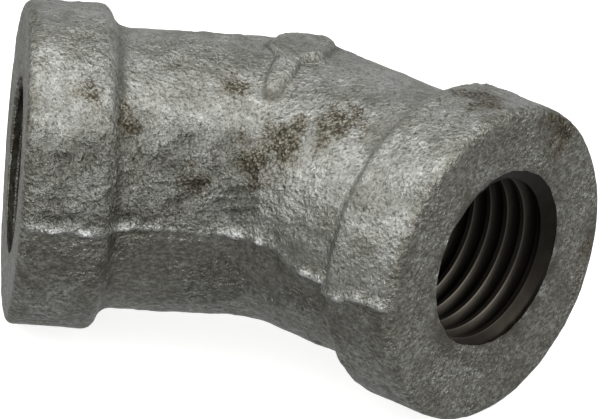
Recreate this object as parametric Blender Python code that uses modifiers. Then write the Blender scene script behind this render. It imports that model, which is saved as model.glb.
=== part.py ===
"""A 45 degree pipe elbow with a female taper thread in each end: one malleable-iron casting, 1/4-18 NPT.

Run it with: blender --background --python part.py

The elbow lies on a bench on its two bands. +Z is up, +Y is the outside (heel) of the bend, and the ports
leave towards -X and +X, each turned half the bend angle towards -Y. The origin is on the bench, under the
middle of the casting's box.
"""

import math

import bmesh
import bpy
from mathutils import Euler, Matrix, Vector

INCH = 0.0254

# Driving dimensions, in metres
BEND_ANGLE = math.radians(45)
CENTRE_TO_FACE = 0.73 * INCH
BAND_RADIUS = 0.01102
BAND_WIDTH = 0.0059
BODY_RADIUS = 0.0095
FACE_EDGE_RADIUS = 0.0007
BAND_BACK_RADIUS = 0.0007
NECK_RADIUS = 0.0010
PASSAGE_RADIUS = 0.00695

# The taper thread: 18 threads to the inch, 1 in 16 on diameter, measured at the port's face
PITCH = INCH / 18
PITCH_RADIUS_AT_FACE = 0.49163 * INCH / 2
RADIAL_TAPER = 1 / 32
FLANK_ANGLE = math.radians(30)
CREST_FLAT = 0.06 * PITCH
THREAD_HEIGHT = (PITCH - 2 * CREST_FLAT) / (2 * math.tan(FLANK_ANGLE))
THREAD_DEPTH = 7 * PITCH
THREAD_START = math.radians(2)
RUN_OUT = 0.0008

# A plain oval pad on the upper side, across the bend, left by the mould
PAD_WIDTH = 0.0036
PAD_LENGTH = 0.0084
PAD_HEIGHT = 0.00045
PAD_DRAFT = 0.12
PAD_LEAN = math.radians(3)

STEPS = 40
ARC_POINTS = 3
OVERRUN = 0.002

# Worked out from the sizes above
HALF_BEND = BEND_ANGLE / 2
CREST_RADIUS_AT_FACE = PITCH_RADIUS_AT_FACE - THREAD_HEIGHT / 2
ROOT_RADIUS_AT_FACE = PITCH_RADIUS_AT_FACE + THREAD_HEIGHT / 2
FRONT_REACH = (
    (CENTRE_TO_FACE - FACE_EDGE_RADIUS) * math.sin(HALF_BEND)
    + (BAND_RADIUS - FACE_EDGE_RADIUS) * math.cos(HALF_BEND)
    + FACE_EDGE_RADIUS
)
BEND_CENTRE = Vector((0, (FRONT_REACH - BODY_RADIUS) / 2, BAND_RADIUS))
PORT_TURNS = {"right": -HALF_BEND, "left": math.pi + HALF_BEND}


def clear_scene():
    """Removes every object that the startup file left."""
    for obj in list(bpy.data.objects):
        bpy.data.objects.remove(obj)


def new_collection(name):
    """A collection in the scene with this name."""
    made = bpy.data.collections.new(name)
    bpy.context.scene.collection.children.link(made)
    return made


def galvanised_iron():
    """Dull zinc-coated cast iron."""
    material = bpy.data.materials.new("galvanised_iron")
    material.use_nodes = True
    shader = material.node_tree.nodes["Principled BSDF"]
    shader.inputs["Base Color"].default_value = (0.26, 0.26, 0.24, 1)
    shader.inputs["Metallic"].default_value = 0.85
    shader.inputs["Roughness"].default_value = 0.5
    return material


def port_rotation(side):
    """Turns local +Z to point out of the port on this side, and local +X to point down."""
    return Euler((0, math.pi / 2, PORT_TURNS[side]))


def arc(centre, radius, start, end):
    """Points on an arc in the (radius, height) plane, with angles in degrees from the +radius direction."""
    angles = [math.radians(start + (end - start) * i / ARC_POINTS) for i in range(ARC_POINTS + 1)]
    return [(centre[0] + radius * math.cos(a), centre[1] + radius * math.sin(a)) for a in angles]


def round_end(radius, points=12):
    """A quarter circle about the bend's centre, from the tube's side down to its axis, ends left out."""
    angles = [math.pi / 2 * i / points for i in range(1, points)]
    return [(radius * math.cos(a), -radius * math.sin(a)) for a in angles]


def outer_profile():
    """The casting's outside from the middle of a port's face down to the far side of the bend."""
    band_back = CENTRE_TO_FACE - BAND_WIDTH
    step = BAND_RADIUS - BODY_RADIUS
    slope_top = band_back - BAND_BACK_RADIUS
    neck = slope_top - step
    return [
        (0, CENTRE_TO_FACE),
        *arc(
            (BAND_RADIUS - FACE_EDGE_RADIUS, CENTRE_TO_FACE - FACE_EDGE_RADIUS),
            FACE_EDGE_RADIUS,
            90,
            0,
        ),
        *arc((BAND_RADIUS - BAND_BACK_RADIUS, band_back), BAND_BACK_RADIUS, 0, -45),
        *arc((BODY_RADIUS + NECK_RADIUS, neck), NECK_RADIUS, 135, 180),
        (BODY_RADIUS, 0),
        *round_end(BODY_RADIUS),
        (0, -BODY_RADIUS),
    ]


def passage_profile():
    """The hollow: the bore at the thread's crests, then the cored passage, to the far side of the bend."""
    bore_end = CENTRE_TO_FACE - THREAD_DEPTH
    bore_end_radius = CREST_RADIUS_AT_FACE - RADIAL_TAPER * THREAD_DEPTH
    return [
        (0, CENTRE_TO_FACE + OVERRUN),
        (CREST_RADIUS_AT_FACE + RADIAL_TAPER * OVERRUN, CENTRE_TO_FACE + OVERRUN),
        (bore_end_radius, bore_end),
        (PASSAGE_RADIUS, bore_end - RUN_OUT),
        (PASSAGE_RADIUS, 0),
        *round_end(PASSAGE_RADIUS),
        (0, -PASSAGE_RADIUS),
    ]


def turned(name, profile, collection):
    """A mesh object whose (radius, height) profile is turned about local Z by a Screw modifier."""
    mesh = bpy.data.meshes.new(name)
    points = [(radius, 0, height) for radius, height in profile]
    mesh.from_pydata(points, [(i, i + 1) for i in range(len(points) - 1)], [])
    obj = bpy.data.objects.new(name, mesh)
    collection.objects.link(obj)
    screw = obj.modifiers.new("turn", "SCREW")
    screw.steps = STEPS
    screw.render_steps = STEPS
    screw.use_merge_vertices = True
    screw.merge_threshold = 0.00001
    screw.use_normal_calculate = True
    return obj


def bent(obj, mirror_plane):
    """Points a turned arm out of the right port, cuts it at the bend's mirror plane and mirrors it."""
    obj.location = BEND_CENTRE
    obj.rotation_euler = port_rotation("right")
    mirror = obj.modifiers.new("other_arm", "MIRROR")
    mirror.mirror_object = mirror_plane
    mirror.use_bisect_axis[0] = True
    mirror.bisect_threshold = 0.000001
    mirror.merge_threshold = 0.00001
    return obj


def hide_helper(obj):
    """Marks an object as a cutter, which is not part of the elbow."""
    obj.hide_render = True
    obj.display_type = "WIRE"


def thread_groove(side, collection):
    """The tapered helical cutter that leaves a right-hand thread in one port."""
    half_at_root = CREST_FLAT / 2
    half_inside = PITCH / 2 - CREST_FLAT / 4
    flank_end = CREST_RADIUS_AT_FACE - CREST_FLAT / 4 / math.tan(FLANK_ANGLE)
    inside = CREST_RADIUS_AT_FACE - THREAD_HEIGHT / 2
    section = [
        (inside, -half_inside),
        (flank_end, -half_inside),
        (ROOT_RADIUS_AT_FACE, -half_at_root),
        (ROOT_RADIUS_AT_FACE, half_at_root),
        (flank_end, half_inside),
        (inside, half_inside),
    ]
    lowest = CENTRE_TO_FACE - THREAD_DEPTH + half_inside - RUN_OUT
    turns = math.ceil((THREAD_DEPTH + OVERRUN) / PITCH)
    bm = bmesh.new()
    face = bm.faces.new([bm.verts.new((radius, 0, lowest + z)) for radius, z in section])
    bmesh.ops.spin(
        bm,
        geom=[face, *face.edges, *face.verts],
        cent=(0, 0, 0),
        axis=(0, 0, 1),
        dvec=(0, 0, PITCH / STEPS),
        angle=2 * math.pi * turns,
        steps=STEPS * turns,
    )
    for vert in bm.verts:
        below_face = CENTRE_TO_FACE - vert.co.z
        shrink = 1 - RADIAL_TAPER * below_face / PITCH_RADIUS_AT_FACE
        vert.co.x *= shrink
        vert.co.y *= shrink
    bmesh.ops.rotate(bm, matrix=Matrix.Rotation(THREAD_START, 3, "Z"), verts=bm.verts)
    bmesh.ops.holes_fill(bm, edges=bm.edges)
    bmesh.ops.recalc_face_normals(bm, faces=bm.faces)
    name = side + "_thread_groove"
    mesh = bpy.data.meshes.new(name)
    bm.to_mesh(mesh)
    bm.free()
    obj = bpy.data.objects.new(name, mesh)
    collection.objects.link(obj)
    obj.location = BEND_CENTRE
    obj.rotation_euler = port_rotation(side)
    return obj


def ball(name, radius, collection):
    """A sphere about the bend's centre."""
    bm = bmesh.new()
    bmesh.ops.create_uvsphere(bm, u_segments=60, v_segments=30, radius=radius)
    mesh = bpy.data.meshes.new(name)
    bm.to_mesh(mesh)
    bm.free()
    obj = bpy.data.objects.new(name, mesh)
    collection.objects.link(obj)
    obj.location = BEND_CENTRE
    return obj


def mould_pad(collection):
    """The low oval pad on top of the bend: an upright oval post, cut to a crown that follows the body."""
    bm = bmesh.new()
    bottom = 1 + PAD_DRAFT
    top = 1 - PAD_DRAFT
    bmesh.ops.create_cone(bm, cap_ends=True, segments=28, radius1=bottom, radius2=top, depth=1)
    mesh = bpy.data.meshes.new("mould_pad")
    bm.to_mesh(mesh)
    bm.free()
    obj = bpy.data.objects.new("mould_pad", mesh)
    collection.objects.link(obj)
    obj.scale = (PAD_WIDTH / 2, PAD_LENGTH / 2, BODY_RADIUS * 0.5)
    obj.rotation_euler = (-PAD_LEAN, 0, 0)
    outwards = Vector((0, math.sin(PAD_LEAN), math.cos(PAD_LEAN)))
    obj.location = BEND_CENTRE + outwards * BODY_RADIUS
    boolean(obj, "INTERSECT", ball("pad_crown", BODY_RADIUS + PAD_HEIGHT, collection))
    return obj


def boolean(target, operation, other):
    """Joins or cuts target with other, and hides other as a helper."""
    modifier = target.modifiers.new(other.name, "BOOLEAN")
    modifier.operation = operation
    modifier.object = other
    modifier.solver = "EXACT"
    hide_helper(other)


def main():
    """Builds the elbow."""
    clear_scene()
    parts = new_collection("pipe_elbow")
    cutters = new_collection("cutters")
    mirror_plane = bpy.data.objects.new("mirror_plane", None)
    cutters.objects.link(mirror_plane)
    mirror_plane.location = BEND_CENTRE
    casting = bent(turned("elbow_casting", outer_profile(), parts), mirror_plane)
    casting.data.materials.append(galvanised_iron())
    boolean(casting, "UNION", mould_pad(cutters))
    for side in PORT_TURNS:
        boolean(casting, "DIFFERENCE", thread_groove(side, cutters))
    passage = bent(turned("passage", passage_profile(), cutters), mirror_plane)
    boolean(casting, "DIFFERENCE", passage)


main()
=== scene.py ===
"""Looks of a galvanised malleable-iron 45 degree pipe elbow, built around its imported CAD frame.

The elbow is a single casting, so its looks are a single piece: a rough zinc-coated skin, a cored passage
and a cut pipe thread in each end. The casting's classes hold millimetres, with places measured from the
bend's centre, and turn them into metres when a mesh is made. The studio and the camera hold metres, apart
from the lens, which is in millimetres.
"""

import logging  # noqa: E402
import math  # noqa: E402
from dataclasses import dataclass  # noqa: E402
from enum import Enum, IntEnum  # noqa: E402

import bmesh  # noqa: E402
import bpy  # noqa: E402
import numpy as np  # noqa: E402
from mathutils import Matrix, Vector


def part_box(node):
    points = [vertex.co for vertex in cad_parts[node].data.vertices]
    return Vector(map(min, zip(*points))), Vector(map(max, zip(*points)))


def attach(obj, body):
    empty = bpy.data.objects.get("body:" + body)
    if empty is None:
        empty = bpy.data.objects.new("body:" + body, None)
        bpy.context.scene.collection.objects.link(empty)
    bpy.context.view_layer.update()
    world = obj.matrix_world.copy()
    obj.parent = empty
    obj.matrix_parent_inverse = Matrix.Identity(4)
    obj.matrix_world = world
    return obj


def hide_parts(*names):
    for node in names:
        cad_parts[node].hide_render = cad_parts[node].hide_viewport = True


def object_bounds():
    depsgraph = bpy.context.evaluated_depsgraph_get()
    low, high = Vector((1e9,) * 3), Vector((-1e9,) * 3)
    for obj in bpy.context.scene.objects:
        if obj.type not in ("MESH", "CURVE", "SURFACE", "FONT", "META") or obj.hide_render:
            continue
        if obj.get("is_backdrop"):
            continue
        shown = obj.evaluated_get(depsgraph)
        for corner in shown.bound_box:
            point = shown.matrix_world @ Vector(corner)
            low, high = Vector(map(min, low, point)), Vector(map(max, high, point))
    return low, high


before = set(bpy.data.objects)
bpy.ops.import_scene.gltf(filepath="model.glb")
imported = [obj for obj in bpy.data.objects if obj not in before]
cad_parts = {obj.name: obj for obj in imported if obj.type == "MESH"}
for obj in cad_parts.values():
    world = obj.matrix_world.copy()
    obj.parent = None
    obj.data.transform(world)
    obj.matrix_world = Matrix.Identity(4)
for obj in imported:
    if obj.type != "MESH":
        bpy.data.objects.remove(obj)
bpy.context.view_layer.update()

import openvdb  # noqa: E402
from mathutils import Matrix, Vector, noise  # noqa: E402

CAD_NODE = "elbow_casting"
MM = 0.001
UP = np.array([0.0, 0.0, 1.0])
# Corners nearer than this, in metres, are one corner.
WELD = 0.002 * MM
# How far apart two noise patterns are read.
PATTERN_STEP = np.array([31.7, 57.3, 11.9])
# A Mix node's colour sockets share their names with its number sockets, so they are given by their place.
SHARE, FIRST, SECOND, MIXED = 0, 6, 7, 2
LOG = logging.getLogger("elbow")


class Port(Enum):
    """The two threaded ends, by the angle in degrees from +X to each one's axis, seen from above."""

    RIGHT = -22.5
    LEFT = 202.5

    @property
    def axis(self) -> np.ndarray:
        """The unit vector that points out of the port."""
        turn = math.radians(self.value)
        return np.array([math.cos(turn), math.sin(turn), 0.0])


class CastFace(Enum):
    """The material slots of the finished mesh, in order."""

    SKIN = 0
    CORE = 1
    THREAD = 2


class Pattern(IntEnum):
    """Which noise pattern each unevenness of the casting is drawn from."""

    WARP = 1
    LUMPS = 2
    SEAM_LIP = 3
    SEAM_LEVEL = 4
    PEEL = 6
    PITS = 7
    CORE = 8
    PAD = 9
    ROUGH_PATCHES = 11
    FOLDS = 12
    THROAT = 14
    CORNER_LINE = 15
    CORNER_SHADE = 16
    TORN_MOUTH = 17
    MOUTH_DIRT = 18
    SEAM_GAPS = 19
    RUST_ANYWHERE = 21
    STAIN_EDGE = 22


def smoothstep(low: float, high: float, value: np.ndarray) -> np.ndarray:
    """An eased ramp.

    Args:
        low: Where the ramp is 0.
        high: Where the ramp is 1. It may be below low.
        value: The values to look up.

    Returns:
        The ramp at each value, from 0 to 1.
    """
    t = np.clip((value - low) / (high - low), 0.0, 1.0)
    return t * t * (3 - 2 * t)


def smooth_union(first: np.ndarray, second: np.ndarray, blend: float | np.ndarray) -> np.ndarray:
    """Joins two distance fields with a rounded inside corner.

    Args:
        first: Distances to the first shape.
        second: Distances to the second shape.
        blend: How far the rounding reaches, in millimetres.

    Returns:
        Distances to the joined shape.
    """
    near = np.maximum(blend - np.abs(first - second), 0) / blend
    return np.minimum(first, second) - near * near * blend / 4


def noise_field(points: np.ndarray, size: float, pattern: Pattern, octaves: int = 1) -> np.ndarray:
    """Smooth noise over points in space.

    Args:
        points: Rows of x, y, z in millimetres.
        size: The size of a lump in millimetres.
        pattern: Which of the noise patterns.
        octaves: How many finer layers, each half the size and strength.

    Returns:
        One value for each point, about -1 to 1.
    """
    moved = points / size + PATTERN_STEP * int(pattern)
    if octaves == 1:
        return np.array([noise.noise(p) for p in moved.tolist()])
    return np.array([noise.fractal(p, 1.0, 2.0, octaves) for p in moved.tolist()])


def linked(name: str, data: bpy.types.ID | None) -> bpy.types.Object:
    """Makes an object and links it to the scene.

    Args:
        name: The object's name.
        data: What it holds, or None for an empty.

    Returns:
        The object.
    """
    obj = bpy.data.objects.new(name, data)
    bpy.context.scene.collection.objects.link(obj)
    return obj


def new_solid(name: str, corners: list, faces: list) -> bpy.types.Object:
    """Makes a mesh object with its faces turned outwards.

    Args:
        name: The object's name.
        corners: Points in metres.
        faces: Rows of point numbers.

    Returns:
        The object, linked to the scene.
    """
    mesh = bpy.data.meshes.new(name)
    mesh.from_pydata(corners, [], faces)
    bm = bmesh.new()
    bm.from_mesh(mesh)
    bmesh.ops.remove_doubles(bm, verts=bm.verts, dist=WELD)
    bmesh.ops.recalc_face_normals(bm, faces=bm.faces)
    bm.to_mesh(mesh)
    bm.free()
    return linked(name, mesh)


@dataclass
class CastingForm:
    """The casting's outer form before any texture: two banded arms joined at the bend."""

    centre_to_face: float = 18.54
    band_radius: float = 11.02
    band_width: float = 5.9
    body_radius: float = 9.5
    mouth_round: float = 0.6
    band_back_round: float = 0.75
    shoulder_blend: float = 1.5
    # The arms run into each other crisply at the heel, and more softly in the throat.
    heel_blend: float = 0.02
    throat_blend: float = 0.7
    # How far the bar inside each band stops short of the port's face.
    bar_short: float = 2.0
    # A point starts to count as on a port's face at the first depth below it, and fully does at the second.
    face_depths: tuple[float, float] = (0.9, 0.2)
    grid: float = 0.224
    margin: float = 0.8

    def arm(self, points: np.ndarray, port: Port) -> np.ndarray:
        """Distances to one arm: a round-ended bar along the port's axis, with its band.

        Args:
            points: Rows of x, y, z.
            port: Which arm.

        Returns:
            One distance for each point.
        """
        along = points @ port.axis
        away = np.sqrt(np.maximum((points * points).sum(axis=-1) - along * along, 0))
        bar = np.hypot(away, np.minimum(along, 0)) - self.body_radius
        bar = np.maximum(bar, along - (self.centre_to_face - self.bar_short))
        middle = self.centre_to_face - self.band_width / 2
        rounding = np.where(along > middle, self.mouth_round, self.band_back_round)
        side = np.abs(along - middle) - (self.band_width / 2 - rounding)
        rise = away - (self.band_radius - rounding)
        corner = np.hypot(np.maximum(side, 0), np.maximum(rise, 0))
        band = corner + np.minimum(np.maximum(side, rise), 0) - rounding
        return smooth_union(bar, band, self.shoulder_blend)

    def distance(self, points: np.ndarray) -> np.ndarray:
        """Distances to the whole outer form.

        Args:
            points: Rows of x, y, z.

        Returns:
            One distance for each point, negative inside.
        """
        right, left = (self.arm(points, port) for port in Port)
        blend = self.heel_blend + self.throat_blend * smoothstep(2.0, -4.0, points[..., 1])
        return smooth_union(right, left, blend)

    def mesh(self, centre: Vector) -> bpy.types.Object:
        """Meshes the form on an even grid, so that its skin can carry fine relief.

        Args:
            centre: The bend's centre, in metres.

        Returns:
            A closed object with its origin at the world's.
        """
        reach = self.centre_to_face + self.band_radius
        low = np.array([-reach, -reach, -self.band_radius]) - self.margin
        high = np.array([reach, self.body_radius, self.band_radius]) + self.margin
        axes = [np.arange(start, end, self.grid) for start, end in zip(low, high)]
        points = np.stack(np.meshgrid(*axes, indexing="ij"), axis=-1)
        values = np.stack([self.distance(slab) for slab in points]).astype(np.float32)
        volume = openvdb.FloatGrid(float(self.margin))
        volume.copyFromArray(np.clip(values, -self.margin, self.margin))
        corners, quads = volume.convertToQuads(isovalue=0)
        corners = (corners * self.grid + low) * MM + np.array(centre)
        return new_solid("casting_form", corners.tolist(), quads.tolist())


@dataclass
class CoredPassage:
    """The tool that leaves the rough hole through the casting, as the sand core did."""

    radius: float = 6.95
    # In the threaded ends only a narrow pilot hole is needed, because the tap cuts the rest.
    pilot_radius: float = 4.3
    neck_start: float = 7.6
    neck_end: float = 8.6
    overrun: float = 2.0
    steps: int = 88
    row: float = 0.55
    end_points: int = 20

    def profile(self, face: float) -> list[tuple[float, float]]:
        """The (radius, height) outline along one arm, from beyond its face to the far side of the bend.

        Args:
            face: The height of the port's face.

        Returns:
            The outline's points, evenly close together.
        """
        outline = [
            (0, face + self.overrun),
            (self.pilot_radius, face + self.overrun),
            (self.pilot_radius, self.neck_end),
            (self.radius, self.neck_start),
        ]
        rows = math.ceil(self.neck_start / self.row)
        outline += [(self.radius, self.neck_start * (1 - i / rows)) for i in range(1, rows + 1)]
        round_end = [math.pi / 2 * i / self.end_points for i in range(1, self.end_points)]
        outline += [(self.radius * math.cos(a), -self.radius * math.sin(a)) for a in round_end]
        return [*outline, (0, -self.radius)]

    def tool(self, face: float, centre: Vector) -> bpy.types.Object:
        """Turns the outline about the right port's axis and mirrors it across the bend.

        Args:
            face: The height of the port's face.
            centre: The bend's centre, in metres.

        Returns:
            The closed cutting tool.
        """
        bm = bmesh.new()
        outline = [bm.verts.new((radius * MM, 0, height * MM)) for radius, height in self.profile(face)]
        edges = [bm.edges.new(pair) for pair in zip(outline, outline[1:])]
        bmesh.ops.spin(
            bm, geom=outline + edges, cent=(0, 0, 0), axis=(0, 0, 1), angle=2 * math.pi, steps=self.steps
        )
        bmesh.ops.remove_doubles(bm, verts=bm.verts, dist=WELD)
        bmesh.ops.recalc_face_normals(bm, faces=bm.faces)
        mesh = bpy.data.meshes.new("passage_tool")
        bm.to_mesh(mesh)
        bm.free()
        tool = linked("passage_tool", mesh)
        tool.rotation_euler = (0, math.pi / 2, math.radians(Port.RIGHT.value))
        tool.location = centre
        plane = linked("mirror_plane", None)
        plane.location = centre
        mirror = tool.modifiers.new("other_arm", "MIRROR")
        mirror.mirror_object = plane
        mirror.use_bisect_axis[0] = True
        mirror.bisect_threshold = 0.001 * MM
        mirror.merge_threshold = 0.01 * MM
        return tool


@dataclass
class PipeThread:
    """The tap that cuts a right-hand 1/4-18 NPT thread: 18 turns to the inch, 1 in 16 on diameter."""

    pitch: float = 25.4 / 18
    crest_radius: float = 5.70
    height: float = 1.02
    radial_taper: float = 1 / 32
    depth: float = 9.9
    # The thread rises from nothing to its full height between these distances from its inner end.
    run_out: tuple[float, float] = (-0.2, 2.2)
    countersink: float = 0.15
    # The tap tore the mouth: how deep, how coarsely, and between which depths below the face.
    torn: float = 0.12
    torn_size: float = 0.9
    torn_depths: tuple[float, float] = (0.7, 0.1)
    # The first stretch of the left port's thread kept its zinc.
    left_lip: float = 1.1
    # The right port was tapped off its axis by this much, sideways and up.
    right_shift: tuple[float, float] = (0.48, 0.39)
    # Crests take a painted highlight from this depth below the face, on this much of their height.
    highlight_depths: tuple[float, float] = (0.7, 1.3)
    highlight_height: tuple[float, float] = (0.16, 0.02)
    start_turn: float = 0.1
    turns_outside: float = 1.6
    steps: int = 80
    # One turn's outline, rounded at crest and root: shares of the pitch and of the thread's height.
    section: tuple[tuple[float, float], ...] = (
        (0.0, 0.0),
        (0.11, 0.0),
        (0.17, 0.10),
        (0.41, 0.88),
        (0.5, 1.0),
        (0.59, 0.88),
        (0.83, 0.10),
        (0.89, 0.0),
        (1.0, 0.0),
    )

    def shift(self, port: Port) -> np.ndarray:
        """How far the tap stood off the port's axis.

        Args:
            port: Which port.

        Returns:
            The move, as x, y, z.
        """
        if port is Port.LEFT:
            return np.zeros(3)
        sideways, upwards = self.right_shift
        return UP * upwards - np.cross(UP, port.axis) * sideways

    def surface(self, port: Port, face: float) -> np.ndarray:
        """Winds the thread's section round the port's axis, from outside the face to the thread's end.

        Args:
            port: Which port to cut.
            face: The distance from the bend's centre to the port's face.

        Returns:
            A grid of points, with a row for each step of the turn.
        """
        turns = math.ceil(self.turns_outside + self.depth / self.pitch)
        step = np.arange(turns * self.steps + 1)[:, None] / self.steps
        within, rise = np.array(self.section).T
        height = face + self.pitch * (self.turns_outside - step - within + self.start_turn)
        end = face - self.depth
        cut = smoothstep(end + self.run_out[0], end + self.run_out[1], height)
        radius = self.crest_radius - self.radial_taper * (face - height) + self.height * rise * cut
        radius = np.maximum(radius, self.crest_radius + self.countersink + height - face)
        angle = 2 * math.pi * step[..., None]
        outwards = np.cos(angle) * UP + np.sin(angle) * np.cross(UP, port.axis)
        places = (outwards * self.crest_radius).reshape(-1, 3)
        tear = noise_field(places, self.torn_size, Pattern.TORN_MOUTH, 2).reshape(-1, 1)
        deep, shallow = self.torn_depths
        radius = radius + self.torn * tear * smoothstep(face - deep, face - shallow, height)
        return height[..., None] * port.axis + radius[..., None] * outwards + self.shift(port)

    def tool(self, port: Port, face: float, centre: Vector) -> bpy.types.Object:
        """Makes the tap for one port.

        Args:
            port: Which port to cut.
            face: The distance from the bend's centre to the port's face.
            centre: The bend's centre, in metres.

        Returns:
            The closed threaded plug. Faces in its second material slot leave zinc behind.
        """
        points = self.surface(port, face)
        rows, columns = points.shape[:2]
        number = np.arange(rows * columns).reshape(rows, columns)
        quads = np.stack([number[:-1, :-1], number[1:, :-1], number[1:, 1:], number[:-1, 1:]], axis=-1)
        corners = points.reshape(-1, 3) * MM + np.array(centre)
        plug = new_solid(f"{port.name.lower()}_tap", corners.tolist(), quads.reshape(-1, 4).tolist())
        self.cap(plug, port, centre)
        if port is Port.LEFT:
            for polygon in plug.data.polygons:
                along = (polygon.center - centre).dot(Vector(port.axis)) / MM
                polygon.material_index = int(along > face - self.left_lip)
        return plug

    def cap(self, plug: bpy.types.Object, port: Port, centre: Vector) -> None:
        """Closes both ends of the plug with a fan of faces to a point on its axis.

        Args:
            plug: The open plug.
            port: Which port it cuts.
            centre: The bend's centre, in metres.
        """
        bm = bmesh.new()
        bm.from_mesh(plug.data)
        axis = Vector(port.axis)
        rim = [edge for edge in bm.edges if edge.is_boundary]
        heights = [(edge.verts[0].co - centre).dot(axis) for edge in rim]
        halfway = (min(heights) + max(heights)) / 2
        for low_end in (True, False):
            tip_height = min(heights) - MM if low_end else max(heights) + MM
            tip = bm.verts.new(centre + axis * tip_height)
            for edge, height in zip(rim, heights):
                if (height < halfway) == low_end:
                    bm.faces.new((*edge.verts, tip))
        bmesh.ops.recalc_face_normals(bm, faces=bm.faces)
        bm.to_mesh(plug.data)
        bm.free()

    def crests(self, points: np.ndarray, face: float) -> np.ndarray:
        """How near each point is to a thread crest, which the cut iron lightens as a painted highlight.

        Args:
            points: Rows of x, y, z.
            face: The distance from the bend's centre to a port's face.

        Returns:
            One value for each point, from 0 to 1.
        """
        found = np.zeros(len(points))
        for port in Port:
            placed = points - self.shift(port)
            along = placed @ port.axis
            away = np.linalg.norm(placed - along[:, None] * port.axis, axis=1)
            rise = away - self.crest_radius + self.radial_taper * (face - along)
            inside = smoothstep(*self.highlight_depths, face - along) * (along > 0)
            found = np.maximum(found, smoothstep(*self.highlight_height, rise) * inside)
        return found


@dataclass(frozen=True)
class Stain:
    """A rusty patch: its middle, and how far it reaches."""

    middle: tuple[float, float, float]
    reach: float


@dataclass
class CutSurface:
    """The cut casting's vertices, and where each of them lies.

    Both distances are from the nearer port's axis. The face value is 1 on a port's face and 0 well inside.
    """

    points: np.ndarray
    normals: np.ndarray
    along_axis: np.ndarray
    off_axis: np.ndarray
    face: np.ndarray
    skin: np.ndarray
    core: np.ndarray
    thread: np.ndarray


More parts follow.
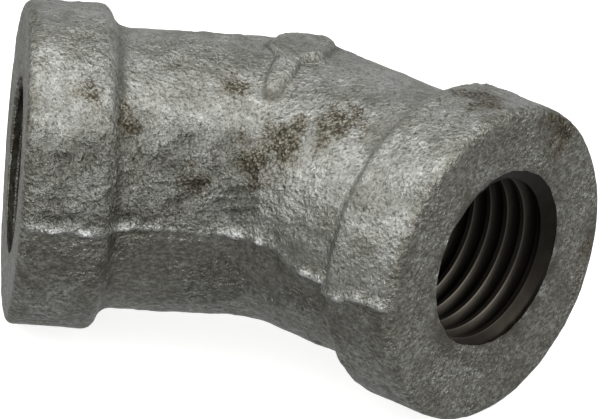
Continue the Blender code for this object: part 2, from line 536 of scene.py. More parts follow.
@dataclass
class CastRelief:
    """The rough relief of a sand-cast, hot-dipped skin, the painted shade in its corners and hollows, and
    the dirt that it holds.

    The ramps in its methods run between places in millimetres from the bend's centre, unless they shape a
    pattern's own values.
    """

    # Each unevenness has a height and a size, from the broadest to the finest.
    warp: tuple[float, float] = (0.09, 7.0)
    lumps: tuple[float, float] = (0.06, 2.1)
    peel: tuple[float, float] = (0.045, 0.85)
    folds: tuple[float, float] = (0.2, 0.95)
    pits: tuple[float, float] = (0.08, 0.5)
    core: tuple[float, float] = (0.12, 1.7)
    # The bands and the port faces are calmer than the body.
    band_middle: float = 15.6
    band_half: float = 2.6
    band_calm: float = 0.45
    face_calm: float = 0.35
    # On a port's face the relief stops at this radius, and returns over the next stretch.
    rim_radius: float = 6.4
    rim_margin: float = 0.9
    seam_height: float = 0.38
    seam_level: float = -0.4
    seam_sag: float = 0.8
    throat_depth: float = 0.16
    throat_side: float = 3.0
    throat_width: float = 0.4
    pad_height: float = 0.45
    # The pad's middle and half length round the body, in degrees from the top towards the heel.
    pad_middle: float = -5.0
    pad_half: float = 29.0
    # A thin line of painted shade in the corner behind each band.
    corner_behind: float = 0.45
    corner_width: float = 0.22
    stains: tuple[Stain, ...] = (
        Stain((-8.0, -11.0, 6.0), 1.3),
        Stain((-2.0, -6.0, 8.5), 1.2),
        Stain((0.5, -9.5, 4.5), 1.9),
        Stain((2.0, -8.5, 6.0), 2.2),
        Stain((5.5, -8.0, 8.0), 1.9),
        Stain((-3.0, -11.0, 2.5), 1.4),
        Stain((-10.5, -12.5, 8.0), 0.9),
        Stain((14.0, -6.0, 11.0), 2.2),
        Stain((19.0, -2.0, 8.5), 2.0),
        Stain((-15.0, -15.5, 5.5), 1.3),
    )

    def seam(self, points: np.ndarray) -> tuple[np.ndarray, np.ndarray, np.ndarray]:
        """The mould's parting line: a ragged lip round the casting near half its height, steep below.

        Args:
            points: Rows of x, y, z.

        Returns:
            How far the lip lifts each point, how much painted highlight the lip's upper side takes, and how
            much painted shade falls above and below the lip.
        """
        level = self.seam_level + 0.35 * noise_field(points, 4.5, Pattern.SEAM_LEVEL) - self.sag(points)
        above = points[:, 2] - level
        ragged = np.clip(0.8 + 1.1 * noise_field(points, 1.1, Pattern.SEAM_LIP, 3), 0.15, 1.4)
        gaps = smoothstep(-0.3, 0.1, noise_field(points, 3.4, Pattern.SEAM_GAPS))
        ragged = ragged * (0.3 + 0.7 * gaps)
        lip = np.where(above > 0, smoothstep(0.75, 0.0, above), smoothstep(-0.3, 0.0, above))
        # The lip's upper side takes a painted highlight.
        lip_highlight = smoothstep(0.35, 1.0, lip * ragged) * (above > -0.1)
        # Painted shade in a band above the lip, and beneath it.
        hollow = smoothstep(0.3, 0.8, above) * smoothstep(2.4, 1.0, above) * self.rough(points)
        beneath = smoothstep(0.0, -0.4, above) * smoothstep(-5.5, -1.5, above)
        return self.seam_height * lip * ragged, lip_highlight, 0.28 * hollow + 0.42 * beneath

    def sag(self, points: np.ndarray) -> np.ndarray:
        """How far the parting line drops on the right arm, where the mould was worn."""
        return self.seam_sag * smoothstep(2.5, 4.5, points[:, 0]) * smoothstep(10.5, 8.5, points[:, 0])

    def pad(self, points: np.ndarray) -> tuple[np.ndarray, np.ndarray]:
        """The plain pad on top of the bend, narrower towards the front.

        Args:
            points: Rows of x, y, z.

        Returns:
            How far the pad lifts each point, and how near each point is to the pad's foot, from 0 to 1.
        """
        lean = np.degrees(np.arctan2(points[:, 1], points[:, 2]))
        half_width = 0.85 + 1.1 * smoothstep(-15.0, -4.0, lean)
        across, around = np.abs(points[:, 0] / half_width), np.abs((lean - self.pad_middle) / self.pad_half)
        oval = (across**3 + around**3) ** (1 / 3) + 0.06 * noise_field(points, 1.2, Pattern.PAD)
        top = points[:, 2] > 0
        foot = smoothstep(0.96, 1.06, oval) * smoothstep(1.3, 1.1, oval)
        return self.pad_height * smoothstep(1.12, 0.86, oval) * top, foot * top

    def rough(self, points: np.ndarray) -> np.ndarray:
        """How coarse the skin is: most in a belt above the seam, on the hollow side and to the left.

        Args:
            points: Rows of x, y, z.

        Returns:
            One value for each point, from 0 to 1.
        """
        belt = smoothstep(-0.8, 0.4, points[:, 2]) * smoothstep(8.5, 4.0, points[:, 2])
        left = smoothstep(5.0, -3.0, points[:, 0] + 0.4 * points[:, 2])
        hollow_side = smoothstep(-3.0, -8.0, points[:, 1])
        patchy = smoothstep(0.0, 0.45, noise_field(points, 5.0, Pattern.ROUGH_PATCHES, 2))
        return np.clip(belt * left * hollow_side + 0.45 * patchy, 0, 1)

    def fold(self, points: np.ndarray) -> np.ndarray:
        """Long low wrinkles with sharp crests, which lean a little along the body.

        Args:
            points: Rows of x, y, z.

        Returns:
            One value for each point, from about -1 in the hollows to 1 on the crests.
        """
        leaning = points - np.outer(points[:, 0], (0, 0, 0.25))
        return 1 - 3.2 * np.abs(noise_field(leaning * (0.42, 0.6, 1.3), self.folds[1], Pattern.FOLDS, 2))

    def rust(self, points: np.ndarray) -> np.ndarray:
        """Where the zinc has failed: the listed stains, and more at random on the heel side.

        Args:
            points: Rows of x, y, z.

        Returns:
            One value for each point, from 0 to 1.
        """
        broken = 0.9 * noise_field(points, 1.1, Pattern.STAIN_EDGE, 4)
        anywhere = smoothstep(0.42, 0.9, noise_field(points, 3.6, Pattern.RUST_ANYWHERE, 5))
        found = 0.7 * anywhere * smoothstep(-4.0, 2.0, points[:, 1])
        for stain in self.stains:
            near = np.linalg.norm(points - np.array(stain.middle), axis=1) / stain.reach
            found = np.maximum(found, smoothstep(1.3, 0.2, near + broken))
        return found

    def throat(self, points: np.ndarray) -> np.ndarray:
        """A short upright crease in the hollow of the bend.

        Args:
            points: Rows of x, y, z.

        Returns:
            How deep the crease is at each point.
        """
        middle = self.throat_side + 0.3 * noise_field(points, 1.5, Pattern.THROAT)
        across = (points[:, 0] - middle) / self.throat_width
        tall = smoothstep(1.8, 0.6, points[:, 2]) * smoothstep(-3.0, -1.0, points[:, 2])
        return self.throat_depth * np.exp(-(across**2)) * tall * (points[:, 1] < -8)

    def moves(self, cut: CutSurface) -> np.ndarray:
        """How far each vertex moves along its normal. The threads stay where they are.

        Args:
            cut: The casting's vertices.

        Returns:
            One distance for each vertex.
        """
        points, face = cut.points, cut.face
        band = smoothstep(0.4, -0.4, np.abs(cut.along_axis - self.band_middle) - self.band_half)
        calm = 1 - self.band_calm * band - self.face_calm * face
        (warp, warp_size), (lumps, lump_size), (peel, peel_size) = self.warp, self.lumps, self.peel
        (pits, pit_size), (core, core_size) = self.pits, self.core
        move = warp * noise_field(points, warp_size, Pattern.WARP) * calm
        move += lumps * noise_field(points, lump_size, Pattern.LUMPS, 3) * calm
        peeled = noise_field(points * (0.5, 0.8, 1.25), peel_size, Pattern.PEEL, 2)
        move += peel * peeled * (1 - 0.5 * face)
        move += (self.folds[0] * self.fold(points) * self.rough(points) + self.seam(points)[0]) * (1 - face)
        move += self.pad(points)[0] - self.throat(points)
        pitted = smoothstep(-0.1, 0.3, noise_field(points, pit_size, Pattern.PITS))
        move -= pits * self.rust(points) * pitted
        off_rim = smoothstep(self.rim_radius, self.rim_radius + self.rim_margin, cut.off_axis)
        free = np.where(face > 0, np.maximum(off_rim, 1 - face), 1.0)
        inside = core * noise_field(points, core_size, Pattern.CORE, 3)
        return np.where(cut.skin, move * free, 0) + np.where(cut.core, inside, 0)

    def shade_and_dirt_amounts(self, cut: CutSurface, back_of_band: float) -> np.ndarray:
        """Where the skin is darkened: painted shade behind the bands, round the pad's foot, in the folds and
        along the parting line, and dirt at the ports' mouths.

        Args:
            cut: The casting's vertices.
            back_of_band: The distance from the bend's centre to the back of a band.

        Returns:
            One value for each vertex, from 0 to 1 or a little more.
        """
        points, face = cut.points, cut.face
        # Painted shade: a thin dark line in the corner behind each band.
        behind = cut.along_axis - (back_of_band - self.corner_behind)
        behind = behind + 0.12 * noise_field(points, 1.5, Pattern.CORNER_LINE)
        corner = np.exp(-((behind / self.corner_width) ** 2))
        painted_shade_and_dirt = 0.6 * corner * (0.6 + noise_field(points, 2.6, Pattern.CORNER_SHADE))
        # Painted shade round the pad's foot.
        painted_shade_and_dirt += 0.8 * self.pad(points)[1]
        # Painted shade in the fold hollows, and above and beneath the parting line's lip.
        painted_shade_and_dirt += 0.28 * self.rough(points) * smoothstep(0.1, -1.0, self.fold(points)) + self.seam(points)[2]
        patches = np.clip(0.5 + 1.5 * noise_field(points, 1.1, Pattern.MOUTH_DIRT, 3), 0, 1)
        mouth = 0.9 * face * smoothstep(self.rim_radius + 1.0, self.rim_radius, cut.off_axis) * patches
        return np.clip(painted_shade_and_dirt, 0, 1) * (1 - face) + mouth


def vertices_of(mesh: bpy.types.Mesh, kind: CastFace) -> np.ndarray:
    """Finds the vertices that belong to at least one face of a kind.

    Args:
        mesh: The cut casting.
        kind: Which faces.

    Returns:
        True or False for each vertex.
    """
    slots = np.empty(len(mesh.polygons), np.int32)
    mesh.polygons.foreach_get("material_index", slots)
    totals = np.empty(len(mesh.polygons), np.int32)
    mesh.polygons.foreach_get("loop_total", totals)
    corners = np.empty(len(mesh.loops), np.int32)
    mesh.loops.foreach_get("vertex_index", corners)
    found = np.zeros(len(mesh.vertices), bool)
    found[corners[np.repeat(slots, totals) == kind.value]] = True
    return found


def store(mesh: bpy.types.Mesh, name: str, values: np.ndarray) -> None:
    """Keeps one number for each vertex on the mesh, for a finish to read."""
    mesh.attributes.new(name, "FLOAT", "POINT").data.foreach_set("value", values.astype(np.float32))


def soften(mesh: bpy.types.Mesh, sharp: float = 38.0) -> None:
    """Shades the mesh smoothly, apart from its cut edges, and clears slivers that have no width.

    Args:
        mesh: The mesh to shade.
        sharp: The angle in degrees past which an edge that borders a cut face stays crisp.
    """
    bm = bmesh.new()
    bm.from_mesh(mesh)
    # The cuts leave faces with many corners in a line. Split later, those would give faces with no area.
    bmesh.ops.triangulate(bm, faces=[face for face in bm.faces if len(face.verts) > 4])
    bmesh.ops.dissolve_degenerate(bm, edges=bm.edges, dist=0.0005 * MM)
    limit = math.radians(sharp)
    for face in bm.faces:
        face.smooth = True
    for edge in bm.edges:
        in_skin = all(face.material_index == CastFace.SKIN.value for face in edge.link_faces)
        edge.smooth = edge.is_manifold and (in_skin or edge.calc_face_angle(0) < limit)
    bm.to_mesh(mesh)
    bm.free()


@dataclass
class ElbowCasting:
    """The whole elbow: form, passage, threads and relief in one closed piece."""

    form: CastingForm
    passage: CoredPassage
    thread: PipeThread
    relief: CastRelief

    @property
    def centre(self) -> Vector:
        """The bend's centre in metres, found from the CAD node's box.

        Returns:
            The point where the ports' axes cross.
        """
        low, high = (Vector(corner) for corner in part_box(CAD_NODE))
        middle = (low.x + high.x) / 2
        return Vector((middle, high.y - self.form.body_radius * MM, (low.z + high.z) / 2))

    def build(self) -> bpy.types.Object:
        """Returns:
            The finished piece.
        """
        face = self.form.centre_to_face
        blank = self.form.mesh(self.centre)
        tools = [self.passage.tool(face, self.centre)]
        tools += [self.thread.tool(port, face, self.centre) for port in Port]
        zinc, cut_iron = ZincSkin().material(), CutIron().material()
        blank.data.materials.append(zinc)
        for tool, dressing in zip(tools, (CoredIron().material(), cut_iron, cut_iron)):
            tool.data.materials.append(dressing)
            tool.data.materials.append(zinc)
            cut = blank.modifiers.new(tool.name, "BOOLEAN")
            cut.operation = "DIFFERENCE"
            cut.solver = "MANIFOLD"
            cut.object = tool
            cut.material_mode = "TRANSFER"
        graph = bpy.context.evaluated_depsgraph_get()
        casting = linked("galvanised_elbow", bpy.data.meshes.new_from_object(blank.evaluated_get(graph)))
        for helper in [blank, *tools, bpy.data.objects["mirror_plane"]]:
            bpy.data.objects.remove(helper)
        self.roughen(casting.data)
        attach(casting, "root")
        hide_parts(CAD_NODE)
        return casting

    def survey(self, mesh: bpy.types.Mesh) -> CutSurface:
        """Measures where every vertex of the cut casting lies.

        Args:
            mesh: The cut casting, with smooth faces.

        Returns:
            The vertices and their places.
        """
        places = np.empty(len(mesh.vertices) * 3)
        mesh.vertices.foreach_get("co", places)
        points = (places.reshape(-1, 3) - np.array(self.centre)) / MM
        normals = np.empty(len(places), np.float32)
        mesh.vertex_normals.foreach_get("vector", normals)
        along = [points @ port.axis for port in Port]
        away = [np.linalg.norm(points - far[:, None] * port.axis, axis=1) for far, port in zip(along, Port)]
        outermost = np.max(along, axis=0)
        skin, core, thread = (vertices_of(mesh, kind) for kind in CastFace)
        return CutSurface(
            points=points,
            normals=normals.reshape(-1, 3),
            along_axis=outermost,
            off_axis=np.min(away, axis=0),
            face=smoothstep(*self.form.face_depths, self.form.centre_to_face - outermost),
            skin=skin & ~thread,
            core=core & ~thread & ~skin,
            thread=thread,
        )

    def roughen(self, mesh: bpy.types.Mesh) -> None:
        """Moves the skin and the passage to their cast relief, and stores what the finishes need.

        Args:
            mesh: The cut casting, with smooth faces.
        """
        cut, relief, form = self.survey(mesh), self.relief, self.form
        moved = cut.points + cut.normals * relief.moves(cut)[:, None]
        mesh.vertices.foreach_set("co", (moved * MM + np.array(self.centre)).ravel())
        mesh.update()
        store(mesh, "rust", relief.rust(cut.points))
        store(mesh, "rough", relief.rough(cut.points))
        # Painted shade in corners, folds, round the pad and at the parting line, with dirt at the ports'
        # mouths.
        store(mesh, "painted_shade_and_dirt", relief.shade_and_dirt_amounts(cut, form.centre_to_face - form.band_width))
        # The parting line's painted highlight, kept off the port faces.
        store(mesh, "lip_highlight", relief.seam(cut.points)[1] * (1 - cut.face))
        store(mesh, "port_face", np.where(cut.skin, cut.face, 0))
        # How far below the parting line each vertex lies; the finish darkens the underside with it as
        # painted shade.
        store(mesh, "under", smoothstep(0.3, -1.2, moved[:, 2] + relief.sag(moved)))
        # Where the thread crests take their painted highlight.
        store(mesh, "crest", np.where(cut.thread, self.thread.crests(moved, form.centre_to_face), 0))
        soften(mesh)


def linear(colour: str) -> tuple[float, float, float, float]:
    """Turns an sRGB hex colour into the linear values that a shader takes.

    Args:
        colour: Such as "#8a8c88".

    Returns:
        Red, green, blue and a full alpha.
    """
    parts = [int(colour[i : i + 2], 16) / 255 for i in (1, 3, 5)]
    red, green, blue = (c / 12.92 if c <= 0.04045 else ((c + 0.055) / 1.055) ** 2.4 for c in parts)
    return red, green, blue, 1.0


def per_mm(size: float) -> float:
    """The texture scale whose pattern repeats about every size millimetres."""
    return 1 / (size * MM)


def fill(tree: bpy.types.NodeTree, node: bpy.types.Node, inputs: dict) -> None:
    """Sets or links a node's inputs.

    Args:
        tree: The node tree.
        node: The node.
        inputs: Input socket name or number to its value, or to the output socket that feeds it.
    """
    for name, value in inputs.items():
        if isinstance(value, bpy.types.NodeSocket):
            tree.links.new(value, node.inputs[name])
        else:
            node.inputs[name].default_value = value


def add_node(
    tree: bpy.types.NodeTree,
    kind: str,
    inputs: dict | None = None,
    out: int | str = 0,
    **settings: object,
) -> bpy.types.NodeSocket | None:
    """Adds one node, fills or links its inputs, and gives one of its outputs.

    Args:
        tree: The node tree.
        kind: The node's type, such as "ShaderNodeMix".
        inputs: Input socket name or number to its value, or to the output socket that feeds it.
        out: The name or number of the output to give back.
        **settings: The node's own properties.

    Returns:
        The output, or None for a node that has none.
    """
    node = tree.nodes.new(kind)
    for name, value in settings.items():
        setattr(node, name, value)
    fill(tree, node, inputs or {})
    return node.outputs[out] if len(node.outputs) else None


def new_material(name: str) -> tuple[bpy.types.Material, bpy.types.NodeTree, bpy.types.Node]:
    """A material with an empty Principled shader.

    Args:
        name: The material's name.

    Returns:
        The material, its node tree and its shader.
    """
    material = bpy.data.materials.new(name)
    material.use_nodes = True
    tree = material.node_tree
    return material, tree, tree.nodes["Principled BSDF"]


@dataclass(frozen=True)
class Unevenness:
    """One size of natural unevenness, as a noise texture draws it. The size is in millimetres."""

    size: float
    detail: float
    roughness: float = 0.5

    def inputs(self, place: bpy.types.NodeSocket) -> dict[str, object]:
        """The values of a noise texture's sockets."""
        scale = per_mm(self.size)
        return {"Vector": place, "Scale": scale, "Detail": self.detail, "Roughness": self.roughness}


@dataclass(frozen=True)
class Canvas:
    """A material's nodes, the place on the elbow, and what the casting stored for each vertex, by name."""

    tree: bpy.types.NodeTree
    place: bpy.types.NodeSocket
    stored: dict[str, bpy.types.NodeSocket]


@dataclass(frozen=True)
class ZincSkin:
    """Hot-dip galvanised malleable iron: zinc that froze on a sand-cast skin, then scuffed and rusted.

    To the eye it is satin grey, clouded and finely mottled, shinier on crests, with a painted highlight on
    the parting line's lip, painted shade in hollows, corners and on the underside, and brown flecks where it
    has rusted.
    """

    bright: str = "#cbcdc9"
    dull: str = "#94958e"
    lip_highlight: str = "#dcdedb"
    grime: str = "#75705f"
    shade: str = "#5b584e"
    halo: str = "#7b6e4e"
    rust: str = "#2a2214"
    metallic: float = 0.85
    # From the hollows, where the zinc is matt, to the crests, where it is smooth.
    roughness: tuple[float, float] = (0.44, 0.22)
    # The mould's sand leaves grains of about 0.1 mm. They are drawn coarser, so that they still show.
    grit: Unevenness = Unevenness(0.16, 3.0, 0.7)
    cell_size: float = 0.192
    lump: Unevenness = Unevenness(0.25, 2.0, 0.6)
    mottle: Unevenness = Unevenness(0.32, 4.0, 0.75)
    crease: Unevenness = Unevenness(0.5, 3.0, 0.6)
    cloud: Unevenness = Unevenness(2.4, 5.0, 0.68)
    grime_patch: Unevenness = Unevenness(4.6, 4.0, 0.65)
    # The mottle is drawn out into short level streaks.
    mottle_stretch: tuple[float, float, float] = (0.75, 0.75, 1.3)
    crease_height: float = 0.34
    lump_height: float = 0.22

    def material(self) -> bpy.types.Material:
        """Builds the finish.

        Returns:
            The material.
        """
        material, tree, shader = new_material("galvanised_zinc_skin")
        place = add_node(tree, "ShaderNodeTexCoord", out="Object")
        stored = {
            name: add_node(tree, "ShaderNodeAttribute", out="Fac", attribute_name=name)
            for name in ("rust", "rough", "painted_shade_and_dirt", "lip_highlight", "port_face", "under")
        }
        canvas = Canvas(tree, place, stored)
        lump = add_node(tree, "ShaderNodeTexNoise", self.lump.inputs(place))
        matt, smooth = self.roughness
        sheen_range = {"Value": lump, "From Min": 0.4, "From Max": 0.62, "To Min": matt, "To Max": smooth}
        finish = {
            "Base Color": self.colour(canvas),
            "Roughness": add_node(tree, "ShaderNodeMapRange", sheen_range),
            "Normal": self.relief(canvas, lump),
            "Metallic": self.metallic,
        }
        fill(tree, shader, finish)
        return material

    def colour(self, canvas: Canvas) -> bpy.types.NodeSocket:
        """Lays the zinc, its dirt, its rust, and its painted shade and highlight over one another.

        Args:
            canvas: What to build it on.

        Returns:
            The colour.
        """
        tree, stored = canvas.tree, canvas.stored
        # Cloudy zinc: brighter and duller satin areas, so the coat doesn't look painted.
        cloud = add_node(tree, "ShaderNodeTexNoise", self.cloud.inputs(canvas.place))
        share = add_node(tree, "ShaderNodeMapRange", {"Value": cloud, "From Min": 0.36, "From Max": 0.64})
        ends = {SHARE: share, FIRST: linear(self.dull), SECOND: linear(self.bright)}
        colour = add_node(tree, "ShaderNodeMix", ends, MIXED, data_type="RGBA")
        # Spots are dark dirt where the zinc is whole, and brown rust where it has failed.
        ends = {SHARE: stored["rust"], FIRST: linear(self.shade), SECOND: linear(self.rust)}
        spot = add_node(tree, "ShaderNodeMix", ends, MIXED, data_type="RGBA")
        bled = add_node(tree, "ShaderNodeMath", {0: stored["rust"], 1: 0.45}, operation="MULTIPLY")
        coats = (
            (self.grime_share(canvas), linear(self.grime)),
            # Painted shade in the corners behind the bands, round the pad, in the folds and along the
            # parting line, with dirt at the ports' mouths.
            (stored["painted_shade_and_dirt"], linear(self.shade)),
            # Fine mottle, heavier on the underside: partly painted shade.
            (self.mottle_and_underside_shade(canvas), linear(self.shade)),
            # A brown halo where the rust has bled.
            (bled, linear(self.halo)),
            # Painted highlight along the upper side of the parting line's lip.
            (stored["lip_highlight"], linear(self.lip_highlight)),
            (self.fleck_share(canvas), spot),
        )
        for share, coat in coats:
            ends = {SHARE: share, FIRST: colour, SECOND: coat}
            colour = add_node(tree, "ShaderNodeMix", ends, MIXED, data_type="RGBA")
        return colour

    def grime_share(self, canvas: Canvas) -> bpy.types.NodeSocket:
        """An olive film of handling grime, never thin on the port faces.

        Args:
            canvas: What to build it on.

        Returns:
            How much of the zinc the film hides.
        """
        tree, stored = canvas.tree, canvas.stored
        patch = add_node(tree, "ShaderNodeTexNoise", self.grime_patch.inputs(canvas.place))
        patch_range = {"Value": patch, "From Min": 0.38, "From Max": 0.62, "To Max": 0.35}
        film = add_node(tree, "ShaderNodeMapRange", patch_range)
        on_face = add_node(tree, "ShaderNodeMath", {0: stored["port_face"], 1: 0.3}, operation="MULTIPLY")
        return add_node(tree, "ShaderNodeMath", {0: film, 1: on_face}, operation="MAXIMUM")

    def mottle_and_underside_shade(self, canvas: Canvas) -> bpy.types.NodeSocket:
        """A fine mottle of spangle and dust, strongest where the casting is cut flat, and heavier below the
        parting line as painted shade on the underside.

        Args:
            canvas: What to build it on.

        Returns:
            How dark the mottle is.
        """
        tree, stored = canvas.tree, canvas.stored
        # Below the parting line the mottle is heavier: painted shade on the underside.
        either = {0: stored["under"], 1: stored["port_face"]}
        low_or_cut_flat = add_node(tree, "ShaderNodeMath", either, operation="MAXIMUM")
        darkest = add_node(tree, "ShaderNodeMapRange", {"Value": low_or_cut_flat, "To Min": 0.35, "To Max": 0.85})
        stretch = {"Vector": canvas.place, "Scale": self.mottle_stretch}
        streaked = add_node(tree, "ShaderNodeMapping", stretch)
        mottle = add_node(tree, "ShaderNodeTexNoise", self.mottle.inputs(streaked))
        mottle_range = {"Value": mottle, "From Min": 0.60, "From Max": 0.40, "To Max": darkest}
        return add_node(tree, "ShaderNodeMapRange", mottle_range)

    def fleck_share(self, canvas: Canvas) -> bpy.types.NodeSocket:
        """Spots between the grains: a few faint dots anywhere, and dense flecks in the rusty patches.

        Args:
            canvas: What to build it on.

        Returns:
            How much of the coat the spots hide.
        """
        tree, place, stored = canvas.tree, canvas.place, canvas.stored
        # Cells give round grains with thin, crisp gaps between them, and the grit breaks them up.
        grit = add_node(tree, "ShaderNodeTexNoise", self.grit.inputs(place))
        cells = add_node(tree, "ShaderNodeTexVoronoi", {"Vector": place, "Scale": per_mm(self.cell_size)})
        gaps = add_node(tree, "ShaderNodeMapRange", {"Value": cells, "To Min": 0.2, "To Max": -0.5})
        grain = add_node(tree, "ShaderNodeMath", {0: grit, 1: gaps}, operation="ADD")
        spread = add_node(tree, "ShaderNodeMath", {0: stored["rust"], 1: 0.22}, operation="MULTIPLY")
        level = add_node(tree, "ShaderNodeMath", {0: grain, 1: spread}, operation="SUBTRACT")
        level_range = {"Value": level, "From Min": 0.29, "From Max": 0.03, "To Max": 0.85}
        return add_node(tree, "ShaderNodeMapRange", level_range)

    def relief(self, canvas: Canvas, lump: bpy.types.NodeSocket) -> bpy.types.NodeSocket:
        """Two layers of relief, finer than the mesh carries: soft creases, then crisp lumps.

        Args:
            canvas: What to build it on.
            lump: The pattern of the lumps.

        Returns:
            The bent normal.
        """
        tree, rough = canvas.tree, canvas.stored["rough"]
        strength = add_node(tree, "ShaderNodeMapRange", {"Value": rough, "To Min": 0.35, "To Max": 1.0})
        crease = add_node(tree, "ShaderNodeTexNoise", self.crease.inputs(canvas.place))
        creased = {"Distance": self.crease_height * MM, "Height": crease, "Strength": strength}
        broad = add_node(tree, "ShaderNodeBump", creased)
        lumped = {"Distance": self.lump_height * MM, "Height": lump, "Strength": strength, "Normal": broad}
        return add_node(tree, "ShaderNodeBump", lumped)


@dataclass(frozen=True)
class CoredIron:
    """The passage as the sand core left it: malleable iron, rough-cast, with a thin zinc wash.

    To the eye it is a dull, dark grey-brown that hardly shines.
    """

    light: str = "#5d5a54"
    dark: str = "#2e2a25"
    metallic: float = 0.3
    roughness: float = 0.7
    cloud: Unevenness = Unevenness(1.2, 5.0)
    cloud_height: float = 0.08

    def material(self) -> bpy.types.Material:
        """Builds the finish.

        Returns:
            The material.
        """
        material, tree, shader = new_material("cored_iron")
        place = add_node(tree, "ShaderNodeTexCoord", out="Object")
        cloud = add_node(tree, "ShaderNodeTexNoise", self.cloud.inputs(place))
        ends = {SHARE: cloud, FIRST: linear(self.dark), SECOND: linear(self.light)}
        bump = {"Strength": 0.7, "Distance": self.cloud_height * MM, "Height": cloud}
        finish = {
            "Base Color": add_node(tree, "ShaderNodeMix", ends, MIXED, data_type="RGBA"),
            "Normal": add_node(tree, "ShaderNodeBump", bump),
            "Metallic": self.metallic,
            "Roughness": self.roughness,
        }
        fill(tree, shader, finish)
        return material


@dataclass(frozen=True)
class CutIron:
    """Tapped thread: bare malleable iron, cut smooth, oiled and gone dark.

    To the eye it is nearly black with soft highlights along the flanks, and a lighter painted highlight
    along the crests.
    """

    # Near-black: partly the oiled iron's own tone, partly painted shade that stands for the shade deep in
    # the bore.
    light: str = "#3a362f"
    dark: str = "#161411"
    crest_highlight: str = "#625d55"
    metallic: float = 0.9
    roughness: float = 0.36
    cloud: Unevenness = Unevenness(1.6, 4.0)
    # The tap's own marks are finer than this. They are drawn as coarse as they need to be to show.
    marks: Unevenness = Unevenness(0.3, 2.0)
    mark_height: float = 0.02

    def material(self) -> bpy.types.Material:
        """Builds the finish.

        Returns:
            The material.
        """
        material, tree, shader = new_material("cut_thread_iron")
        place = add_node(tree, "ShaderNodeTexCoord", out="Object")
        cloud = add_node(tree, "ShaderNodeTexNoise", self.cloud.inputs(place))
        ends = {SHARE: cloud, FIRST: linear(self.dark), SECOND: linear(self.light)}
        colour = add_node(tree, "ShaderNodeMix", ends, MIXED, data_type="RGBA")
        # A painted highlight along the thread crests.
        crest = add_node(tree, "ShaderNodeAttribute", out="Fac", attribute_name="crest")
        ends = {SHARE: crest, FIRST: colour, SECOND: linear(self.crest_highlight)}
        marks = add_node(tree, "ShaderNodeTexNoise", self.marks.inputs(place))
        bump = {"Strength": 0.4, "Distance": self.mark_height * MM, "Height": marks}
        finish = {
            "Base Color": add_node(tree, "ShaderNodeMix", ends, MIXED, data_type="RGBA"),
            "Normal": add_node(tree, "ShaderNodeBump", bump),
            "Metallic": self.metallic,
            "Roughness": self.roughness,
        }
        fill(tree, shader, finish)
        return material


@dataclass(frozen=True)
class PaleCard:
    """The floor: matt card, white and even to the eye because it has some light of its own."""

    tone: str = "#d8d8d6"
    roughness: float = 0.9
    glow: float = 0.8

    def material(self) -> bpy.types.Material:
        """Builds the finish.

        Returns:
            The material.
        """
        material, tree, shader = new_material("pale_card")
        finish = {
            "Base Color": linear(self.tone),
            "Roughness": self.roughness,
            "Emission Color": (1, 1, 1, 1),
            "Emission Strength": self.glow,
        }
        fill(tree, shader, finish)
        return material


def direction(azimuth: float, elevation: float) -> Vector:
    """The way from the elbow to a viewer or a light, in degrees; azimuth 0 is in front, at -Y."""
    turn, rise = math.radians(azimuth), math.radians(elevation)
    return Vector((math.sin(turn) * math.cos(rise), -math.cos(turn) * math.cos(rise), math.sin(rise)))


@dataclass(frozen=True)
class Softbox:
    """A rectangular studio light that faces the elbow."""

    name: str
    azimuth: float
    elevation: float
    power: float
    width: float = 0.34
    height: float = 0.34
    distance: float = 0.45

    def place(self, target: Vector) -> None:
        """Hangs the light.

        Args:
            target: What it faces, in metres.
        """
        light = bpy.data.lights.new(self.name, "AREA")
        light.shape = "RECTANGLE"
        light.size = self.width
        light.size_y = self.height
        light.energy = self.power
        obj = linked(self.name, light)
        back = direction(self.azimuth, self.elevation)
        obj.location = target + back * self.distance
        obj.rotation_mode = "QUATERNION"
        obj.rotation_quaternion = (-back).to_track_quat("-Z", "Y")


@dataclass(frozen=True)
class ProductCamera:
    """A long-lens camera in front of the elbow, a little above it and slightly rolled."""

    azimuth: float = 15.97
    elevation: float = 22.13
    roll: float = 6.06
    lens: float = 427.6
    distance: float = 0.48375
    move_right: float = 0.000905
    move_up: float = -0.002131
    nearest: float = 0.01

    def place(self, target: Vector) -> None:
        """Sets up the camera and makes it the scene's.

        Args:
            target: The bend's centre, in metres.
        """
        data = bpy.data.cameras.new("product_camera")
        data.lens = self.lens
        data.clip_start = self.nearest
        camera = linked("product_camera", data)
        back = direction(self.azimuth, self.elevation)
        level = Vector(UP).cross(back).normalized()
        tall = back.cross(level)
        turn = math.radians(self.roll)
        right = level * math.cos(turn) + tall * math.sin(turn)
        up = tall * math.cos(turn) - level * math.sin(turn)
        camera.matrix_world = Matrix((right, up, back)).transposed().to_4x4()
        camera.location = target + back * self.distance + right * self.move_right + up * self.move_up
        bpy.context.scene.camera = camera


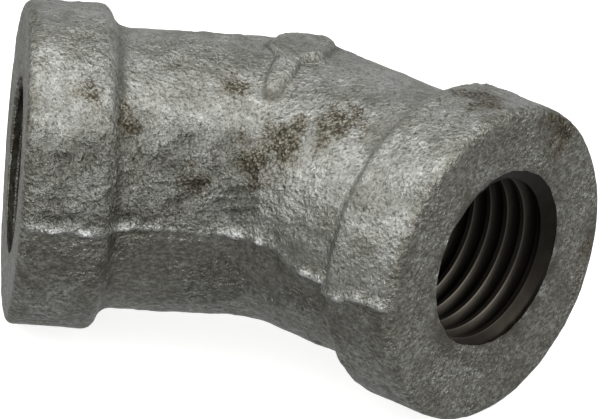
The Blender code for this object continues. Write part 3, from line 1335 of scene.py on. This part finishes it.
@dataclass(frozen=True)
class Studio:
    """A pale floor, a grey room that is a little dimmer below, and soft light."""

    floor_size: float = 3.0
    room: float = 0.49
    room_low: float = 0.38
    # The room's light fades between these heights of the view, from 1 overhead to -1 underfoot.
    room_fade: tuple[float, float] = (0.05, -0.3)
    backdrop: float = 0.95
    lights: tuple[Softbox, ...] = (
        Softbox("top_softbox", azimuth=16, elevation=82, power=0.64, width=0.40, height=0.40),
        Softbox("key_softbox", azimuth=-20, elevation=45, power=0.36),
        Softbox("left_softbox", azimuth=-75, elevation=30, power=0.48),
        Softbox("right_softbox", azimuth=75, elevation=28, power=0.6),
        Softbox("low_strip", azimuth=12, elevation=12, power=0.45, height=0.08),
    )

    def build(self, ground: float, target: Vector) -> None:
        """Builds the studio.

        Args:
            ground: The height that the elbow lies on, in metres.
            target: What the lights face, in metres.
        """
        for light in self.lights:
            light.place(target)
        bm = bmesh.new()
        bmesh.ops.create_grid(bm, x_segments=1, y_segments=1, size=self.floor_size / 2)
        mesh = bpy.data.meshes.new("floor")
        bm.to_mesh(mesh)
        bm.free()
        mesh.materials.append(PaleCard().material())
        floor = linked("floor", mesh)
        floor.location = (0, 0, ground)
        # The floor neither lights the elbow nor shows in it: the room does that.
        floor.visible_glossy = False
        floor.visible_diffuse = False
        floor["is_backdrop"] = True
        self.surround()

    def surround(self) -> None:
        """Sets the room's light: brighter above, dimmer below, and pale where the camera sees it."""
        world = bpy.data.worlds.new("studio")
        bpy.context.scene.world = world
        world.use_nodes = True
        tree = world.node_tree
        tree.nodes.clear()
        place = add_node(tree, "ShaderNodeTexCoord", out="Generated")
        height = add_node(tree, "ShaderNodeSeparateXYZ", {0: place}, "Z")
        high, low = self.room_fade
        fade = {"Value": height, "From Min": high, "From Max": low}
        glow = add_node(tree, "ShaderNodeMapRange", fade | {"To Min": self.room, "To Max": self.room_low})
        seen = add_node(tree, "ShaderNodeLightPath", out="Is Camera Ray")
        shown = {"Value": seen, "To Min": glow, "To Max": self.backdrop}
        strength = add_node(tree, "ShaderNodeMapRange", shown)
        sky = add_node(tree, "ShaderNodeBackground", {"Color": (1, 1, 1, 1), "Strength": strength})
        add_node(tree, "ShaderNodeOutputWorld", {"Surface": sky})


def main() -> None:
    """Builds the elbow, its studio and its camera."""
    logging.basicConfig(level=logging.INFO, format="%(name)s: %(message)s")
    elbow = ElbowCasting(CastingForm(), CoredPassage(), PipeThread(), CastRelief())
    casting = elbow.build()
    faces = len(casting.data.polygons)
    LOG.info("%s: %d faces, %d materials", casting.name, faces, len(casting.data.materials))
    Studio().build(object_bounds()[0].z, elbow.centre)
    ProductCamera().place(elbow.centre)
    bpy.context.scene.view_settings.view_transform = "Standard"


if __name__ == "__main__":
    main()
